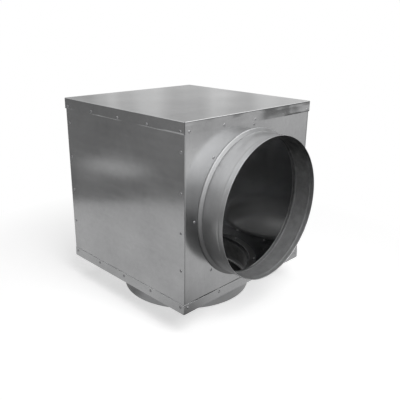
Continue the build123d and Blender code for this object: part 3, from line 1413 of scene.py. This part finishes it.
        # Inside the outlet's mouth reflections see the floor darker, painted shade, with a faint
        # painted sheen from in_mouth.
        room = mix.math("MULTIPLY", room, mix.span(away, self.mouth_edge, (0.14, 1.0)))
        room = self.in_mouth.added(mix, room)
        far = mix.span(away, (0.32, 0.78), (0.0, 1.0))
        look = mix.either(far, lit.outputs["BSDF"], mix.glow())
        look = mix.either(path.outputs["Is Glossy Ray"], look, mix.glow(room))
        look = mix.either(path.outputs["Is Diffuse Ray"], look, mix.glow(0.12))
        back = mix.node("ShaderNodeNewGeometry").outputs["Backfacing"]
        back = mix.math("MULTIPLY", back, path.outputs["Is Camera Ray"])
        look = mix.either(back, look, mix.node("ShaderNodeBsdfTransparent").outputs["BSDF"])
        mix.join(look, mix.output.inputs["Surface"])
        signs = np.array([[-1.0, -1.0, 0.0], [1.0, -1.0, 0.0], [1.0, 1.0, 0.0], [-1.0, 1.0, 0.0]])
        piece = make_mesh("studio_floor", signs * self.floor_half, [[0, 1, 2, 3]])
        dress(piece, mix.material)

    def grey_card(self) -> None:
        """The dark side of the room, left of the box, with paler patches.

        Only reflections see it.
        """
        mix = Recipe("grey_card")
        level = self.card_glow
        for patch in (self.above_streak, self.card_top, self.streak):
            level = patch.added(mix, level)
        mix.join(mix.glow(level), mix.output.inputs["Surface"])
        side = np.array([-1.0, 1.0, 0.0]) / math.sqrt(2.0) * self.card_half
        middle = np.array(self.card_middle)
        up = np.array([0.0, 0.0, self.card_height])
        points = np.array([middle - side, middle + side, middle + side + up, middle - side + up])
        piece = make_mesh("grey_card", points, [[0, 1, 2, 3]])
        dress(piece, mix.material)
        piece.visible_camera = False
        piece.visible_diffuse = False
        piece.visible_shadow = False

    def lamp(self, name: str, place: Triple, size: float, power: float) -> None:
        """A square soft lamp that looks at the middle of the box.

        Args:
            name: its name.
            place: where it hangs.
            size: its edge in metres.
            power: its power in watts.
        """
        data = bpy.data.lights.new(name, "AREA")
        data.size = size
        data.energy = power
        made = bpy.data.objects.new(name, data)
        back = np.array(place) - np.array(self.lamp_aim)
        back /= np.linalg.norm(back)
        right = np.cross([0.0, 0.0, 1.0], back)
        right /= np.linalg.norm(right)
        matrix = np.eye(4)
        matrix[:3, 0], matrix[:3, 1], matrix[:3, 2] = right, np.cross(back, right), back
        matrix[:3, 3] = place
        made.matrix_world = Matrix(matrix.tolist())
        made.visible_glossy = False
        bpy.context.scene.collection.objects.link(made)

    def build(self) -> None:
        """Sets the whole studio."""
        self.camera()
        self.world()
        self.floor()
        self.grey_card()
        self.lamp("soft_top", (0.1, -0.2, 1.9), 1.6, 9.0)
        self.lamp("key", (1.35, -0.35, 1.6), 1.1, 22.0)
        bpy.context.scene.view_settings.view_transform = "Standard"


def main() -> None:
    """Builds every piece in order and reports it."""
    logging.basicConfig(level=logging.INFO, format="%(name)s: %(message)s")
    end = ZincSheet("zinc_end", core=0.1995).material()
    side = ZincSheet("zinc_side", grain=Grain.ALONG_X).material()
    lid = ZincSheet(
        "zinc_cover", grain=Grain.ALONG_Y, gloss=(0.12, 0.2), wave=0.0001, dents=0.001
    ).material()
    base = ZincSheet("zinc_pan", grain=Grain.ALONG_Y, gloss=(0.14, 0.22), wave=0.0003).material()
    # The inlet's tube: painted shade low down and at its root, and inside painted shade toward the top
    # with painted light toward the bottom.
    rolled = ZincSheet(
        "zinc_rolled", grain=Grain.ALONG_X, dark=(0.42, 0.423, 0.428), pale=(0.56, 0.563, 0.568),
        gloss=(0.28, 0.40), metal=0.78, wave=0.0001, drawn=0.32, inside_shading=(-0.45, 0.85),
        low_shade=0.24, low_shade_level=0.25, root=0.18, uv=True,
    ).material()
    # The inlet's collar: painted shade low down and on its inner faces.
    pressed = ZincSheet(
        "zinc_pressed", grain=Grain.ALONG_X, dark=(0.40, 0.403, 0.408), pale=(0.53, 0.533, 0.538),
        gloss=(0.28, 0.40), metal=0.78, wave=0.0001, low_shade=0.48,
        low_shade_level=0.265, inside_shading=(0.1, 0.85), uv=True,
    ).material()
    # The outlet's zinc: a darker copy of the rolled zinc, painted shade under the box, with painted
    # shade on its inner faces.
    lower = ZincSheet(
        "zinc_outlet_shaded", grain=Grain.ALONG_X, dark=(0.36, 0.363, 0.368), pale=(0.48, 0.483, 0.488),
        gloss=(0.24, 0.36), metal=0.95, wave=0.0001, inside_shading=(0.7, 0.7), uv=True,
    ).material()
    alloy = DrawnAlloy("rivet_metal").material()
    seal = SealingCompound("sealing_compound").material()
    Casing().build(end, side, seal)
    FoldedTray().build(lid)
    FoldedTray(
        node="bottom_pan", half=201.4 * MM, level=60.0 * MM, upright=-1.0, depth=22.0 * MM,
        opening=161.4 * MM, sag=0.0, bow=0.2 * MM, lean=-0.34 * MM, dull_edge=1.0,
        buckle=0.9 * MM, buckled=(95.0 * MM, 188.0 * MM), flare=0.0,
    ).build(base)
    inlet_place = np.array([200.0, 0.0, 258.0]) * MM
    outlet_place = np.array([0.0, 0.0, 60.0]) * MM
    upside_down = np.diag([1.0, -1.0, -1.0])
    inlet = RoundDuct("inlet", inlet_place, side_axes(Side.INLET), phase=0.6)
    outlet = RoundDuct("outlet", outlet_place, upside_down, phase=2.2, inner_shade_thins_at=147.0)
    inlet.build(rolled, pressed)
    outlet.build(lower, lower)
    Riveting().build(alloy, inlet, outlet)
    Studio().build()


if __name__ == "__main__":
    main()
